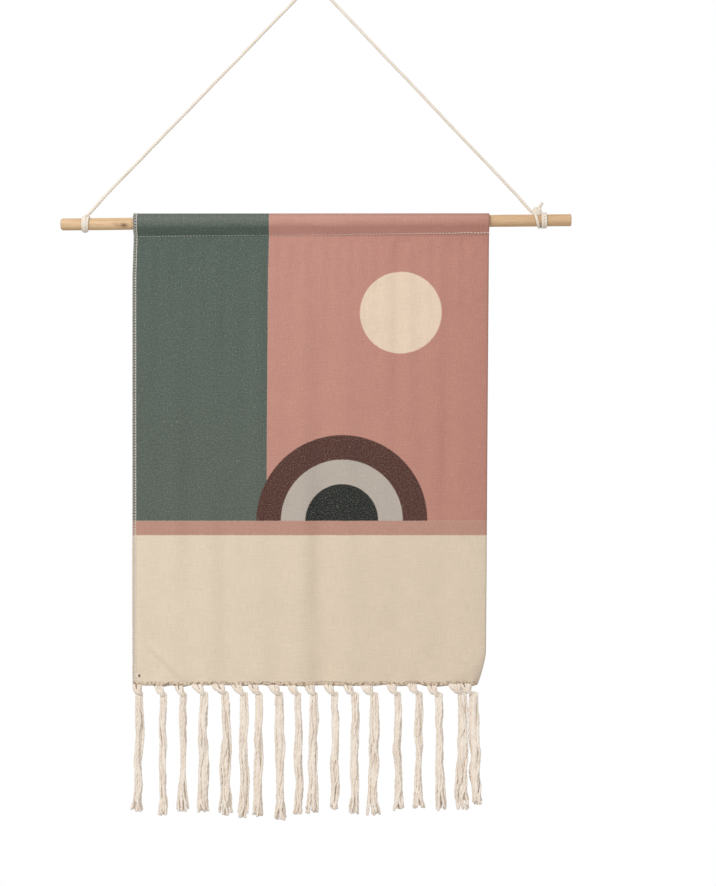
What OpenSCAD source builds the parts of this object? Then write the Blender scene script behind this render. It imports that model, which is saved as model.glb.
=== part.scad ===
// Tapestry wall hanging: a printed canvas cloth that hangs from a wooden rod.
// The rod runs through a pocket sewn along the top of the cloth, a cotton cord is
// tied round both of its ends, and knotted yarn tassels hang from the hem.
//
// The origin is the point under the top of the cord where a nail bears.
// +Z is up, the printed face looks towards -Y, and the wall is on the +Y side.

/* [Rod] */
// Length of the wooden rod
rod_len = 500; // [480:5:620]
// Diameter of the rod
rod_d = 12; // [8:0.5:16]
// Bevel round each end of the rod
rod_bevel = 0.6; // [0.2:0.1:2]
// How far the rod's middle sits to the right of the nail
rod_shift = 2.4; // [0:0.2:8]
// How far the rod hangs out of level, its right end up, in degrees
rod_tilt = 0.48; // [0:0.02:0.6]

/* [Cord] */
// Diameter of the cotton cord
cord_d = 3; // [2:0.1:4]
// Gap between the cord's turns and the rod
cord_gap = 0.25; // [0.1:0.05:0.5]

/* [Cloth] */
// Width of the cloth
cloth_w = 348; // [290:1:418]
// Height of the cloth, from the fold over the rod down to the hem
cloth_h = 460; // [300:1:600]
// Thickness of the canvas
cloth_t = 0.8; // [0.4:0.1:1.2]
// How far the cloth's middle sits to the left of the nail
cloth_shift = 2; // [0:0.2:8]
// Slack between the rod and the inside of the pocket, where the rod comes nearest to it
pocket_slack = 0.4; // [0.3:0.1:2]
// Height of the flat double ply between the pocket's round part and its seam
pocket_flat = 4.4; // [3:0.2:12]
// Gap between the pocket and the cloth below it, where the cloth folds
fold_gap = 0.3; // [0.2:0.1:0.6]

/* [Stitching] */
// Thickness of the sewing thread
thread_d = 0.5; // [0.3:0.1:0.8]
// Width of the overlocked band along the left edge
overlock_w = 4; // [2:0.5:8]
// Thickness of the overlock's threads on the cloth
overlock_t = 0.4; // [0.2:0.1:0.8]
// Height of the hem's stitching above the hem
hem_inset = 2; // [1:0.5:8]

/* [Tassels] */
// Length of a tassel, from the hem to its cut end
tassel_len = 129; // [80:1:200]
// Diameter of a tassel at its middle
tassel_d = 8; // [5:0.5:9.5]
// How much wider a tassel is at its frayed end
tassel_fray = 1.5; // [0:0.5:2]
// Diameter of a tassel just under its knot
neck_d = 4.4; // [3:0.2:6]
// Width of the knot under the hem
knot_w = 9; // [6:0.5:10]
// Height of the knot under the hem
knot_h = 8; // [6:0.5:10]
// Gap between a knot and the yarn that swings under it
swing_gap = 0.3; // [0.2:0.1:0.6]

/* [Hidden] */
$fn = 64;
// Smallest overlap that joins two shapes of one piece
bite = 0.05;
// How far a cutting shape reaches past the piece it cuts
past = 1;

// Where the cord holds the rod: the height of the rod's top at its middle, and the middle of the
// turns at each end, measured along the rod from its middle
rod_top = -226;
left_turns_x = -226.4;
right_turns_x = 223.6;

rod_r = rod_d / 2;
rod_z = rod_top - rod_r;
cord_r = cord_d / 2;
turn_r = rod_r + cord_gap + cord_r;
// Two turns side by side press into each other a little
turn_pitch = 0.87 * cord_d;
// The crossing turn on the right leans, so it is wider to stay clear of the rod
lean = 22;
leaning_turn_r = turn_r / cos(lean);
leaning_turn_x = right_turns_x - 1.5 * turn_pitch - leaning_turn_r * sin(lean);
left_lump_x = left_turns_x + 0.5 * cord_d;
left_lump_r = 0.9 * cord_d;
right_lump_x = right_turns_x - 1.2 * cord_d;
right_lump_r = 1.2 * cord_d;
tail_len = 3.6 * cord_d;
tail_lean = 35;

// The cord's route from the left knot over the nail to the right knot, end to end
CORD_ROUTE = [
    [-222.2, 0, -224.8], [-215, 0, -217.5], [-195, 0, -196.5], [-170, 0, -171],
    [-145, 0, -145], [-120, 0, -119.5], [-95, 0, -93.5], [-70, 0, -68],
    [-45, 0, -42], [-25, 0, -21.5], [-12, 0, -8.2], [-7, 0, -3.1],
    [-4.3, 0, -0.3], [-2.3, 0, 1], [0, 0, 1.5], [2.3, 0, 1],
    [4.3, 0, -0.3], [7, 0, -3.1], [12, 0, -8.4], [25, 0, -22],
    [45, 0, -43], [70, 0, -69.5], [95, 0, -95.5], [120, 0, -122],
    [145, 0, -148.5], [170, 0, -174.5], [193, 0, -199], [207, 0, -213.5],
    [213.5, 0, -220.4], [215.5, 0, -222.2]
];
// Rings between two route points, on the long legs and round the nail
RINGS_LEG = 3;
RINGS_NAIL = 1;
CORD_SIDES = 8;

// The pocket hangs level, so it leaves room for the tilted rod over its whole width
tilt_room = (cloth_w / 2 + cloth_shift + rod_shift) * sin(rod_tilt);
pocket_in_r = rod_r + pocket_slack + tilt_room;
pocket_out_r = pocket_in_r + cloth_t;
seam_drop = pocket_out_r + pocket_flat;
pocket_top = rod_z + pocket_out_r;
hem_z = pocket_top - cloth_h;
cloth_left = -cloth_shift - cloth_w / 2;

// The two plies are sewn together along the bottom of the pocket
seam_h = 2.5;
stitch_rise = 1.5;
seam_stitch_z = rod_z - seam_drop + stitch_rise;
// Steps round the pocket's round part
ARC_STEPS = 56;
// Cloth left without stitches at either end of a seam, and without overlock at the fold
stitch_margin = 1;
fold_margin = 2;

// The cloth folds on this line under the pocket
fold_z = rod_z - seam_drop - fold_gap - cloth_t / 2;

neck_r = neck_d / 2;
// A tassel swings on this line under its knot
swing_z = hem_z - knot_h - swing_gap - neck_r;
tassel_taper = 20;
fray_h = 30;

// Where each tassel hangs, as a share of the cloth's width from its left edge
TASSEL_AT = [0.014, 0.079, 0.135, 0.189, 0.248, 0.301, 0.346, 0.403, 0.456,
             0.504, 0.560, 0.617, 0.670, 0.738, 0.797, 0.853, 0.918, 0.952];
// How much longer each tassel was cut than tassel_len
TASSEL_EXTRA = [-3, 1, -3, -2, 1, 3, 2, 5, 0, -1, -5, 0, 1, -4, -5, -4, -5, -10];
TASSEL_COUNT = len(TASSEL_AT);

function numbered(name, i) = str(name, i < 9 ? "0" : "", i + 1);

// ---- Sweeping a tube along a route ----

function spline(a, b, c, d, t) =
    0.5 * ((2 * b) + (c - a) * t + (2 * a - 5 * b + 4 * c - d) * t * t
           + (3 * b - a - 3 * c + d) * t * t * t);

function near_nail(p) = norm(p) < 10;

function smooth_route(route) =
    let (last = len(route) - 1)
    concat(
        [for (i = [0 : last - 1])
            let (steps = near_nail(route[i]) && near_nail(route[i + 1]) ? RINGS_NAIL : RINGS_LEG)
            for (k = [0 : steps - 1])
                spline(route[max(i - 1, 0)], route[i], route[i + 1],
                       route[min(i + 2, last)], k / steps)],
        [route[last]]
    );

function unit(v) = v / norm(v);

// The route lies in the XZ plane, so Y is square to it everywhere
function ring_point(at, along, r, turn) =
    at + r * (cos(turn) * [0, 1, 0] + sin(turn) * cross([0, 1, 0], along));

module tube(route, r, sides) {
    path = smooth_route(route);
    last = len(path) - 1;
    points = [for (i = [0 : last])
        let (along = unit(path[min(i + 1, last)] - path[max(i - 1, 0)]))
        for (s = [0 : sides - 1]) ring_point(path[i], along, r, (s + 0.5) * 360 / sides)];
    walls = [for (i = [0 : last - 1]) for (s = [0 : sides - 1])
        let (t = (s + 1) % sides)
        for (face = [[i * sides + s, (i + 1) * sides + t, i * sides + t],
                     [i * sides + s, (i + 1) * sides + s, (i + 1) * sides + t]]) face];
    start_cap = [for (s = [0 : sides - 1]) s];
    end_cap = [for (s = [sides - 1 : -1 : 0]) last * sides + s];
    polyhedron(points, concat(walls, [start_cap, end_cap]), convexity = 4);
}

// ---- Cord ----

module hanging_cord() {
    color("antiquewhite") tube(CORD_ROUTE, cord_r, CORD_SIDES);
}

// Puts shapes drawn round the origin, with the rod along X, where the tilted rod is
module on_rod() {
    translate([rod_shift, 0, rod_z]) rotate([0, -rod_tilt, 0]) children();
}

// One turn of cord round the rod, its middle at x and leaning by an angle
module cord_turn(x, major_r, angle) {
    translate([x, 0, 0]) rotate([0, 90 + angle, 0])
        rotate_extrude() translate([major_r, 0]) circle(cord_r);
}

// A knot's lump with the cord's cut end coming straight out of it
module lump_and_tail(r) {
    rotate_extrude() polygon([
        [0, -r], [0.6 * r, -0.8 * r], [r, -0.3 * r], [r, 0.3 * r],
        [cord_r, r], [cord_r, tail_len], [0, tail_len]
    ]);
}

module left_cord_knot() {
    color("antiquewhite") on_rod() union() {
        cord_turn(left_turns_x - turn_pitch / 2, turn_r, 0);
        cord_turn(left_turns_x + turn_pitch / 2, turn_r, 0);
        translate([left_lump_x, 0, rod_r + cord_gap + left_lump_r]) sphere(left_lump_r);
    }
}

module right_cord_knot() {
    color("antiquewhite") on_rod() union() {
        cord_turn(right_turns_x - turn_pitch / 2, turn_r, 0);
        cord_turn(right_turns_x + turn_pitch / 2, turn_r, 0);
        cord_turn(leaning_turn_x, leaning_turn_r, -lean);
        translate([right_lump_x, 0, rod_r + cord_gap + right_lump_r]) rotate([0, tail_lean, 0])
            lump_and_tail(right_lump_r);
    }
}

// ---- Rod ----

module rod() {
    straight = rod_len - 2 * rod_bevel;
    color("burlywood") on_rod() rotate([0, 90, 0]) {
        cylinder(h = straight, r = rod_r, center = true);
        for (side = [0, 180]) rotate([side, 0, 0])
            translate([0, 0, straight / 2 - bite])
                cylinder(h = rod_bevel + bite, r1 = rod_r, r2 = rod_r - rod_bevel);
    }
}

// ---- Cloth ----

// Sweeps an outline drawn in the YZ plane along X, from one x to another
module along_x(from, to) {
    translate([from, 0, 0]) rotate([90, 0, 90]) linear_extrude(to - from) children();
}

// The outline of cloth that hangs round a rod: round above, then straight down to a blunt tip
function hanging_outline(r, tip_half, tip_drop) =
    let (tip = [tip_half, -tip_drop])
    let (touch = atan2(tip[1], tip[0]) + acos(r / norm(tip)))
    concat(
        [tip],
        [for (k = [0 : ARC_STEPS])
            let (turn = touch + (180 - 2 * touch) * k / ARC_STEPS)
            r * [cos(turn), sin(turn)]],
        [[-tip[0], tip[1]]]
    );

module teardrop_bar(r, tip_half, tip_drop, from, to) {
    along_x(from, to) translate([0, rod_z]) polygon(hanging_outline(r, tip_half, tip_drop));
}

module pocket() {
    left = cloth_left;
    right = cloth_left + cloth_w;
    color("rosybrown") difference() {
        teardrop_bar(pocket_out_r, cloth_t, seam_drop, left, right);
        teardrop_bar(pocket_in_r, bite, seam_drop - seam_h, left - past, right + past);
    }
}

// Sweeps an outline along a seam, between the overlock and the cloth's right edge
module stitched_width() {
    along_x(cloth_left + overlock_w + stitch_margin, cloth_left + cloth_w - stitch_margin)
        children();
}

module pocket_stitching() {
    color("linen") stitched_width()
        translate([0, seam_stitch_z])
            square([2 * cloth_t + 2 * thread_d, thread_d], center = true);
}

module pocket_overlock() {
    left = cloth_left - overlock_t;
    right = cloth_left + overlock_w;
    color("ivory") difference() {
        teardrop_bar(pocket_out_r + overlock_t, cloth_t + overlock_t, seam_drop, left, right);
        teardrop_bar(pocket_out_r, cloth_t, seam_drop + bite, left - past, right + past);
    }
}

module panel() {
    color("rosybrown") along_x(cloth_left, cloth_left + cloth_w) {
        translate([0, fold_z]) circle(cloth_t / 2);
        translate([-cloth_t / 2, hem_z]) square([cloth_t, fold_z - hem_z]);
    }
}

module panel_overlock() {
    top = fold_z - fold_margin;
    color("ivory") difference() {
        along_x(cloth_left - overlock_t, cloth_left + overlock_w)
            translate([-cloth_t / 2 - overlock_t, hem_z])
                square([cloth_t + 2 * overlock_t, top - hem_z]);
        along_x(cloth_left, cloth_left + overlock_w + past)
            translate([-cloth_t / 2, hem_z - past]) square([cloth_t, top - hem_z + 2 * past]);
    }
}

module hem_stitching() {
    color("linen") stitched_width()
        translate([0, hem_z + hem_inset])
            square([cloth_t + 2 * thread_d, thread_d], center = true);
}

// ---- Tassels ----

function tassel_x(i) = cloth_left + TASSEL_AT[i] * cloth_w;

// A low round knot, flat where it meets the hem
module hem_knot(i) {
    round_x = (knot_w - knot_h) / 2;
    color("antiquewhite") translate([tassel_x(i), 0, hem_z - knot_h / 2])
        rotate_extrude() intersection() {
            union() {
                translate([round_x, 0]) circle(knot_h / 2);
                translate([0, -knot_h / 2]) square([round_x, knot_h]);
            }
            translate([0, -knot_h / 2]) square([knot_w, knot_h]);
        }
}

module tassel(i) {
    bottom = swing_z - (hem_z - tassel_len - TASSEL_EXTRA[i]);
    half = tassel_d / 2;
    color("antiquewhite") translate([tassel_x(i), 0, swing_z]) {
        sphere(neck_r);
        rotate_extrude() polygon([
            [0, 0], [neck_r, 0], [half, -tassel_taper], [half, -(bottom - fray_h)],
            [half + tassel_fray / 2, -bottom], [0, -bottom]
        ]);
    }
}

hanging_cord();
left_cord_knot();
right_cord_knot();
rod();
pocket();
pocket_stitching();
pocket_overlock();
panel();
panel_overlock();
hem_stitching();
for (i = [0 : TASSEL_COUNT - 1]) {
    hem_knot(i);
    tassel(i);
}
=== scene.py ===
"""Looks of a tapestry wall hanging: twisted cotton cord, wooden rod, printed canvas and yarn tassels.

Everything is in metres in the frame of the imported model: X to the right, Z up, the printed face
towards -Y, and the origin where a nail holds the cord.
"""

import math

import bpy
import numpy as np
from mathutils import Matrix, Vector


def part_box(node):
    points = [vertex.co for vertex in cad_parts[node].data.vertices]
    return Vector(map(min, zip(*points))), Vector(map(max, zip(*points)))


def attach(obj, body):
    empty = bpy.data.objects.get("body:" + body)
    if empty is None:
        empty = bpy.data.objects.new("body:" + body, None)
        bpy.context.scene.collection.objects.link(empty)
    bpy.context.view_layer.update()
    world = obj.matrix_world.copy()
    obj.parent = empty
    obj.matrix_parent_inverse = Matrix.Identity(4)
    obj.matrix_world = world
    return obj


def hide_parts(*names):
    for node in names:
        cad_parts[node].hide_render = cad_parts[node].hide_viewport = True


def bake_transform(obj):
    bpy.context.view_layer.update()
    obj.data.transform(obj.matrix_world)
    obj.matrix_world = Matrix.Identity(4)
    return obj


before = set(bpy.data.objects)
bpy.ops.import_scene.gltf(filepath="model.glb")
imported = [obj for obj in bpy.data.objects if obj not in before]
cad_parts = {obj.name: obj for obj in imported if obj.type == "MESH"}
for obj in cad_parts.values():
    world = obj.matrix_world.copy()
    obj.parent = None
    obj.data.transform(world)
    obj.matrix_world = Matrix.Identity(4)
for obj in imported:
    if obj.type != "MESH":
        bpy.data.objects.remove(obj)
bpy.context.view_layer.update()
scene = bpy.context.scene
MM = 0.001


def span(node):
    """The lowest and highest corner of a CAD node as arrays."""
    low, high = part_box(node)
    return np.array(low), np.array(high)


def random_source(*key):
    """A random source that gives the same numbers each run."""
    return np.random.default_rng(list(key))


# ---- Camera, at the photograph's distance and height, square on to the cloth ----

VIEW_HEIGHT = 0.8683
VIEW_DISTANCE = 2.0
VIEW_CENTRE = (0.0436, -0.4483)

camera_data = bpy.data.cameras.new("camera")
camera = bpy.data.objects.new("camera", camera_data)
scene.collection.objects.link(camera)
camera.location = (VIEW_CENTRE[0], -VIEW_DISTANCE, VIEW_CENTRE[1])
camera.rotation_euler = (math.radians(90), 0, 0)
camera_data.sensor_width = 36
camera_data.lens = camera_data.sensor_width * VIEW_DISTANCE / VIEW_HEIGHT
camera_data.clip_start = 0.05
camera_data.clip_end = 50
camera_data.dof.use_dof = False
scene.camera = camera
scene.view_settings.view_transform = "Standard"


# ---- Smooth lines, meshes and tubes ----


def smooth_line(points, step):
    """A Catmull-Rom spline through the points, resampled to even steps."""
    p = np.array(points, float)
    p = np.vstack([2 * p[0] - p[1], p, 2 * p[-1] - p[-2]])
    fine = []
    for i in range(1, len(p) - 2):
        a, b, c, d = p[i - 1 : i + 3]
        count = max(4, int(np.linalg.norm(c - b) / step * 3))
        t = np.linspace(0, 1, count, endpoint=False)[:, None]
        fine.append(
            0.5
            * (2 * b + (c - a) * t + (2 * a - 5 * b + 4 * c - d) * t**2 + (3 * b - a - 3 * c + d) * t**3)
        )
    line = np.vstack([*fine, p[-2:-1]])
    arc = arc_of(line)
    even = np.linspace(0, arc[-1], max(2, int(round(arc[-1] / step)) + 1))
    return np.stack([np.interp(even, arc, line[:, k]) for k in range(3)], 1)


def arc_of(line):
    """Length along a line, at each of its points."""
    return np.concatenate([[0], np.cumsum(np.linalg.norm(np.diff(line, axis=0), axis=1))])


def unit(v):
    return v / np.maximum(np.linalg.norm(v, axis=-1, keepdims=True), 1e-12)


def frames_along(line, hint=(0.0, 1.0, 0.0)):
    """Two directions square to the line at each point, turned as little as possible."""
    tangent = unit(np.gradient(line, axis=0))
    across = np.zeros_like(line)
    u = np.array(hint)
    if abs(tangent[0] @ u) > 0.9:
        u = np.array([1.0, 0.0, 0.0])
    for i, t in enumerate(tangent):
        u = u - t * (u @ t)
        u = u / math.sqrt(u @ u)
        across[i] = u
    return across, np.cross(tangent, across)


def point_data(mesh, name, values):
    """Stores a number or a vector for each point of a mesh, for its material to read."""
    values = np.asarray(values, np.float32)
    kind, key = ("FLOAT", "value") if values.ndim == 1 else ("FLOAT_VECTOR", "vector")
    mesh.attributes.new(name, kind, "POINT").data.foreach_set(key, values.ravel())


def smooth_object(name, mesh, *materials):
    mesh.polygons.foreach_set("use_smooth", np.ones(len(mesh.polygons), bool))
    for material in materials:
        mesh.materials.append(material)
    obj = bpy.data.objects.new(name, mesh)
    scene.collection.objects.link(obj)
    return obj


def grid_faces(rows, cols):
    """Faces between the points of a grid that is stored row by row."""
    index = np.arange(rows * cols).reshape(rows, cols)
    corners = [index[:-1, :-1], index[1:, :-1], index[1:, 1:], index[:-1, 1:]]
    return np.stack(corners, -1).reshape(-1, 4).tolist()


class Mesh:
    """Gathers tubes and other surfaces into one object."""

    def __init__(self):
        self.points, self.faces, self.round, self.yarn, self.count = [], [], [], [], 0

    def tube(self, line, radius, sides, shade=0.5, hint=(0.0, 1.0, 0.0)):
        """A closed tube round a line. The radius is one number, or one for each point."""
        across, along = frames_along(line, hint)
        n = len(line)
        radius = np.broadcast_to(np.array(radius, float), (n,))
        turn = (np.arange(sides) / sides) * 2 * math.pi
        ring = np.stack([np.cos(turn), np.sin(turn)], 1)
        offset = ring[None, :, 0:1] * across[:, None] + ring[None, :, 1:2] * along[:, None]
        self.points.append((line[:, None] + offset * radius[:, None, None]).reshape(-1, 3))
        arc = np.repeat(arc_of(line) / MM, sides)
        self.round.append(np.column_stack([np.tile(ring, (n, 1)), arc]))
        self.yarn.append(np.full(n * sides, shade))
        i, s = np.meshgrid(np.arange(n - 1), np.arange(sides), indexing="ij")
        t = (s + 1) % sides
        quads = np.stack([i * sides + s, i * sides + t, (i + 1) * sides + t, (i + 1) * sides + s], -1)
        self.faces += (quads.reshape(-1, 4) + self.count).tolist()
        self.faces.append((np.arange(sides)[::-1] + self.count).tolist())
        self.faces.append((np.arange(sides) + (n - 1) * sides + self.count).tolist())
        self.count += n * sides

    def twisted(self, line, strands, radius, pitch, sides, shade=0.5, phase=0.0, spread=None, full=1.34):
        """Strands laid round a line as in a rope, `radius` over all.

        Fuller strands leave shallower grooves.
        """
        across, along = frames_along(line)
        n = len(line)
        turn = arc_of(line) * 2 * math.pi / pitch + phase
        share = math.sin(math.pi / strands)
        thick = radius * share / (1 + share) * full
        reach = (radius - thick) * (np.ones(n) if spread is None else spread)
        for k in range(strands):
            a = turn + k * 2 * math.pi / strands
            strand = line + (across * np.cos(a)[:, None] + along * np.sin(a)[:, None]) * reach[:, None]
            self.tube(strand, thick, sides, shade)

    def build(self, name, material):
        mesh = bpy.data.meshes.new(name)
        mesh.from_pydata(np.vstack(self.points).tolist(), [], self.faces)
        point_data(mesh, "round", np.vstack(self.round))
        point_data(mesh, "yarn", np.concatenate(self.yarn))
        return smooth_object(name, mesh, material)


# ---- Node materials ----


def linear(r, g, b):
    """A display colour, 0 to 255, as a scene colour."""
    c = np.array([r, g, b]) / 255
    c = np.where(c <= 0.04045, c / 12.92, ((c + 0.055) / 1.055) ** 2.4)
    return (*c.tolist(), 1.0)


class Value:
    """A number that a node gives, with arithmetic."""

    def __init__(self, graph, socket):
        self.graph, self.socket = graph, socket

    def __add__(self, other):
        return self.graph.math("ADD", self, other)

    def __sub__(self, other):
        return self.graph.math("SUBTRACT", self, other)

    def __mul__(self, other):
        return self.graph.math("MULTIPLY", self, other)

    def __truediv__(self, other):
        return self.graph.math("DIVIDE", self, other)

    __radd__ = __add__
    __rmul__ = __mul__

    def __rsub__(self, other):
        return self.graph.math("SUBTRACT", other, self)


class Graph:
    """A Principled material whose inputs are worked out by nodes."""

    def __init__(self, name):
        self.material = bpy.data.materials.new(name)
        self.material.use_nodes = True
        self.tree = self.material.node_tree
        self.tree.nodes.clear()
        self.shader = self.add("ShaderNodeBsdfPrincipled")
        self.put(self.add("ShaderNodeOutputMaterial").inputs["Surface"], self.shader.outputs[0])

    def add(self, kind, **settings):
        node = self.tree.nodes.new(kind)
        for key, value in settings.items():
            setattr(node, key, value)
        return node

    def put(self, socket, value):
        if isinstance(value, Value):
            value = value.socket
        if isinstance(value, bpy.types.NodeSocket):
            self.tree.links.new(value, socket)
        else:
            socket.default_value = value

    def math(self, operation, *values, clamp=False):
        node = self.add("ShaderNodeMath", operation=operation, use_clamp=clamp)
        for socket, value in zip(node.inputs, values):
            self.put(socket, value)
        return Value(self, node.outputs[0])

    def vector(self, operation, *values, scalar=False):
        node = self.add("ShaderNodeVectorMath", operation=operation)
        for socket, value in zip(node.inputs, values):
            self.put(socket, value)
        return Value(self, node.outputs[1]) if scalar else node.outputs[0]

    def scaled(self, vector, factor):
        node = self.add("ShaderNodeVectorMath", operation="SCALE")
        self.put(node.inputs[0], vector)
        self.put(node.inputs["Scale"], factor)
        return node.outputs[0]

    def attribute(self, name, output="Vector"):
        return self.add("ShaderNodeAttribute", attribute_name=name).outputs[output]

    def parts(self, vector):
        node = self.add("ShaderNodeSeparateXYZ")
        self.put(node.inputs[0], vector)
        return [Value(self, s) for s in node.outputs]

    def joined(self, x, y, z):
        node = self.add("ShaderNodeCombineXYZ")
        for socket, value in zip(node.inputs, (x, y, z)):
            self.put(socket, value)
        return node.outputs[0]

    def noise(self, vector, scale, detail=2.0, roughness=0.5, colour=False):
        node = self.add("ShaderNodeTexNoise")
        self.put(node.inputs["Vector"], vector)
        node.inputs["Scale"].default_value = scale
        node.inputs["Detail"].default_value = detail
        node.inputs["Roughness"].default_value = roughness
        return node.outputs["Color"] if colour else Value(self, node.outputs[0])

    def mix(self, factor, a, b):
        node = self.add("ShaderNodeMix", data_type="RGBA")
        self.put(node.inputs[0], factor)
        self.put(node.inputs[6], a)
        self.put(node.inputs[7], b)
        return node.outputs[2]

    def ramp(self, value, low, high, to_low=0.0, to_high=1.0):
        node = self.add("ShaderNodeMapRange")
        self.put(node.inputs["Value"], value)
        for key, number in zip(("From Min", "From Max", "To Min", "To Max"), (low, high, to_low, to_high)):
            node.inputs[key].default_value = number
        return Value(self, node.outputs[0])

    def darken(self, colour, factor):
        """A colour times a number."""
        return self.scaled(colour, factor)

    def bump(self, height, strength, distance):
        node = self.add("ShaderNodeBump")
        node.inputs["Strength"].default_value = strength
        node.inputs["Distance"].default_value = distance
        self.put(node.inputs["Height"], height)
        self.put(self.shader.inputs["Normal"], node.outputs[0])

    def finish(self, colour, roughness, sheen=0.0):
        self.put(self.shader.inputs["Base Color"], colour)
        self.put(self.shader.inputs["Roughness"], roughness)
        self.shader.inputs["Sheen Weight"].default_value = sheen
        self.shader.inputs["Specular IOR Level"].default_value = 0.25
        return self.material


def cotton(name, base, shadow, plies, ply_pitch, fuzz, relief=0.45):
    """Spun cotton: twisted plies in the bump, painted shade in the grooves between plies, uneven colour, a
    dull surface.
    """
    g = Graph(name)
    cos_turn, sin_turn, arc = g.parts(g.attribute("round"))
    turn = g.math("ARCTAN2", sin_turn, cos_turn)
    yarn = Value(g, g.attribute("yarn", "Fac"))
    ply = g.math("ABSOLUTE", g.math("SINE", turn * (plies / 2) + arc * (math.pi / ply_pitch)))
    place = g.joined(turn, arc, yarn * 40.0)
    object_place = g.add("ShaderNodeTexCoord").outputs["Object"]
    fibres = g.noise(object_place, 2200.0, 3.0, 0.7)
    patches = g.noise(object_place, 90.0, 2.0)
    slubs = g.noise(place, 0.6, 2.0)
    height = ply + fibres * fuzz + slubs * 0.5
    g.bump(height, relief, 0.3 * MM)
    # painted shade: darker in the grooves between plies and by each tube's shade value, with random patches
    # of a darker tone
    groove_shade_and_patches = g.ramp(ply, 0.0, 0.4, relief, 0.0) + g.ramp(patches, 0.35, 0.7, 0.0, 0.3) + yarn * 0.3
    colour = g.mix(g.math("MINIMUM", groove_shade_and_patches, 1.0), linear(*base), linear(*shadow))
    warm = g.ramp(g.noise(object_place, 160.0, 1.0), 0.4, 0.7, 0.0, 0.25)
    tint = g.mix(warm, colour, linear(226, 200, 180))
    tint = g.darken(tint, g.ramp(fibres, 0.2, 0.8, 0.9, 1.06))
    return g.finish(tint, g.ramp(fibres, 0.2, 0.8, 0.82, 0.98), 0.15)


rope_cotton = cotton("rope_cotton", (240, 232, 219), (216, 199, 177), 4, 2.4, 0.6, 0.2)
tassel_cotton = cotton("tassel_cotton", (246, 237, 225), (226, 206, 186), 2, 3.2, 0.8, 0.18)
thread_white = cotton("thread_white", (236, 231, 222), (205, 197, 184), 2, 1.2, 0.4)
thread_hem = cotton("thread_hem", (206, 184, 158), (150, 122, 98), 2, 1.2, 0.4)


# ---- Cord: one length of three-strand cotton, knotted round both ends of the rod ----

CORD_D = 3 * MM
CORD_GAP = 0.25 * MM
CORD_ROUTE = [
    [-222.2, 0, -224.8], [-215, 0, -217.5], [-195, 0, -196.5], [-170, 0, -171],
    [-145, 0, -145], [-120, 0, -119.5], [-95, 0, -93.5], [-70, 0, -68],
    [-45, 0, -42], [-25, 0, -21.5], [-12, 0, -8.2], [-7, 0, -3.1],
    [-4.3, 0, -0.3], [-2.3, 0, 1], [0, 0, 1.5], [2.3, 0, 1],
    [4.3, 0, -0.3], [7, 0, -3.1], [12, 0, -8.4], [25, 0, -22],
    [45, 0, -43], [70, 0, -69.5], [95, 0, -95.5], [120, 0, -122],
    [145, 0, -148.5], [170, 0, -174.5], [193, 0, -199], [207, 0, -213.5],
    [213.5, 0, -220.4], [215.5, 0, -222.2],
]  # fmt: skip

# The rod hangs a little out of level, its right end up
ROD_R = 6 * MM
ROD_LEN = 500 * MM
ROD_MIDDLE = np.array([2.4, 0.0, -232.0]) * MM
ROD_Z = ROD_MIDDLE[2]
ROD_TILT = math.radians(0.48)
TURN_R = ROD_R + CORD_GAP + CORD_D / 2


def on_rod(points):
    """Points drawn with the rod along X and its middle at the origin, put where the tilted rod is."""
    x, y, z = np.moveaxis(np.asarray(points, float), -1, 0)
    c, s = math.cos(ROD_TILT), math.sin(ROD_TILT)
    return np.stack([x * c - z * s, y, x * s + z * c], -1) + ROD_MIDDLE


def turns(from_x, to_x, from_degrees, to_degrees, extra=0.0):
    """Points on cord wound round the rod: 0 is over it, 90 in front, 180 under it and 270 behind."""
    count = int(abs(to_degrees - from_degrees) / 30) + 1
    r = TURN_R / MM + extra
    a = np.radians(np.linspace(from_degrees, to_degrees, count))
    return np.stack([np.linspace(from_x, to_x, count), -r * np.sin(a), r * np.cos(a)], 1).tolist()


def pressed(points):
    """Cord points moved towards the rod: the tight turns are flattened against it."""
    c, s = math.cos(ROD_TILT), math.sin(ROD_TILT)
    x, y, z = np.moveaxis(np.asarray(points, float) - ROD_MIDDLE, -1, 0)
    along, up = x * c + z * s, z * c - x * s
    away = np.maximum(np.hypot(y, up), 1e-9)
    above = away - ROD_R - 0.1 * MM
    depth = np.clip(above / (3.2 * MM), 0, 1)
    fade = np.clip((22 * MM - above) / (16 * MM), 0, 1)
    scale = 1 - 1.25 * MM * depth * fade / away
    return on_rod(np.stack([along, y * scale, up * scale], -1))


# Both knots start at the hanging cord, in millimetres from the rod's middle
left_knot_route = (
    [[-225.4, -1.6, 8.9]]
    + turns(-225.7, -226.2, 40, 190, 0.7)
    + turns(-226.6, -227.6, 220, 330)
    + turns(-227.7, -227.8, 360, 570)
    + turns(-226.6, -223.4, 600, 690)
    + turns(-222.7, -223.6, 720, 810)
    + turns(-223.9, -225.2, 840, 940)
)
right_knot_route = (
    turns(214.2, 218.7, 25, 180)
    + turns(219.6, 221.6, 210, 330)
    + turns(221.9, 222.1, 360, 570)
    + turns(223.0, 224.5, 600, 690)
    + turns(224.7, 224.7, 720, 930)
    + turns(224.2, 222.6, 960, 1040)
    + [[220.6, -1.2, 8.8], [217.8, -2.8, 8.2], [215.0, -2.2, 9.0], [213.6, -0.8, 10.8], [215.0, 0.8, 12.8]]
    + [[217.8, 0.8, 13.0], [219.8, -0.8, 11.4], [218.6, -2.8, 10.0], [216.2, -2.6, 10.6], [215.8, -0.4, 11.8]]
    + [[217.4, 1.0, 11.4], [219.6, 0.8, 14.4], [221.9, 0.2, 18.0]]
)
CORD_STEP = 0.8 * MM
middle_line = smooth_line(np.array(CORD_ROUTE) * MM, CORD_STEP)
left_line = smooth_line([middle_line[0], *on_rod(np.array(left_knot_route) * MM)][::-1], CORD_STEP)
right_line = smooth_line([middle_line[-1], *on_rod(np.array(right_knot_route) * MM)], CORD_STEP)
CORD_PITCH = 9.5 * MM


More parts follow.
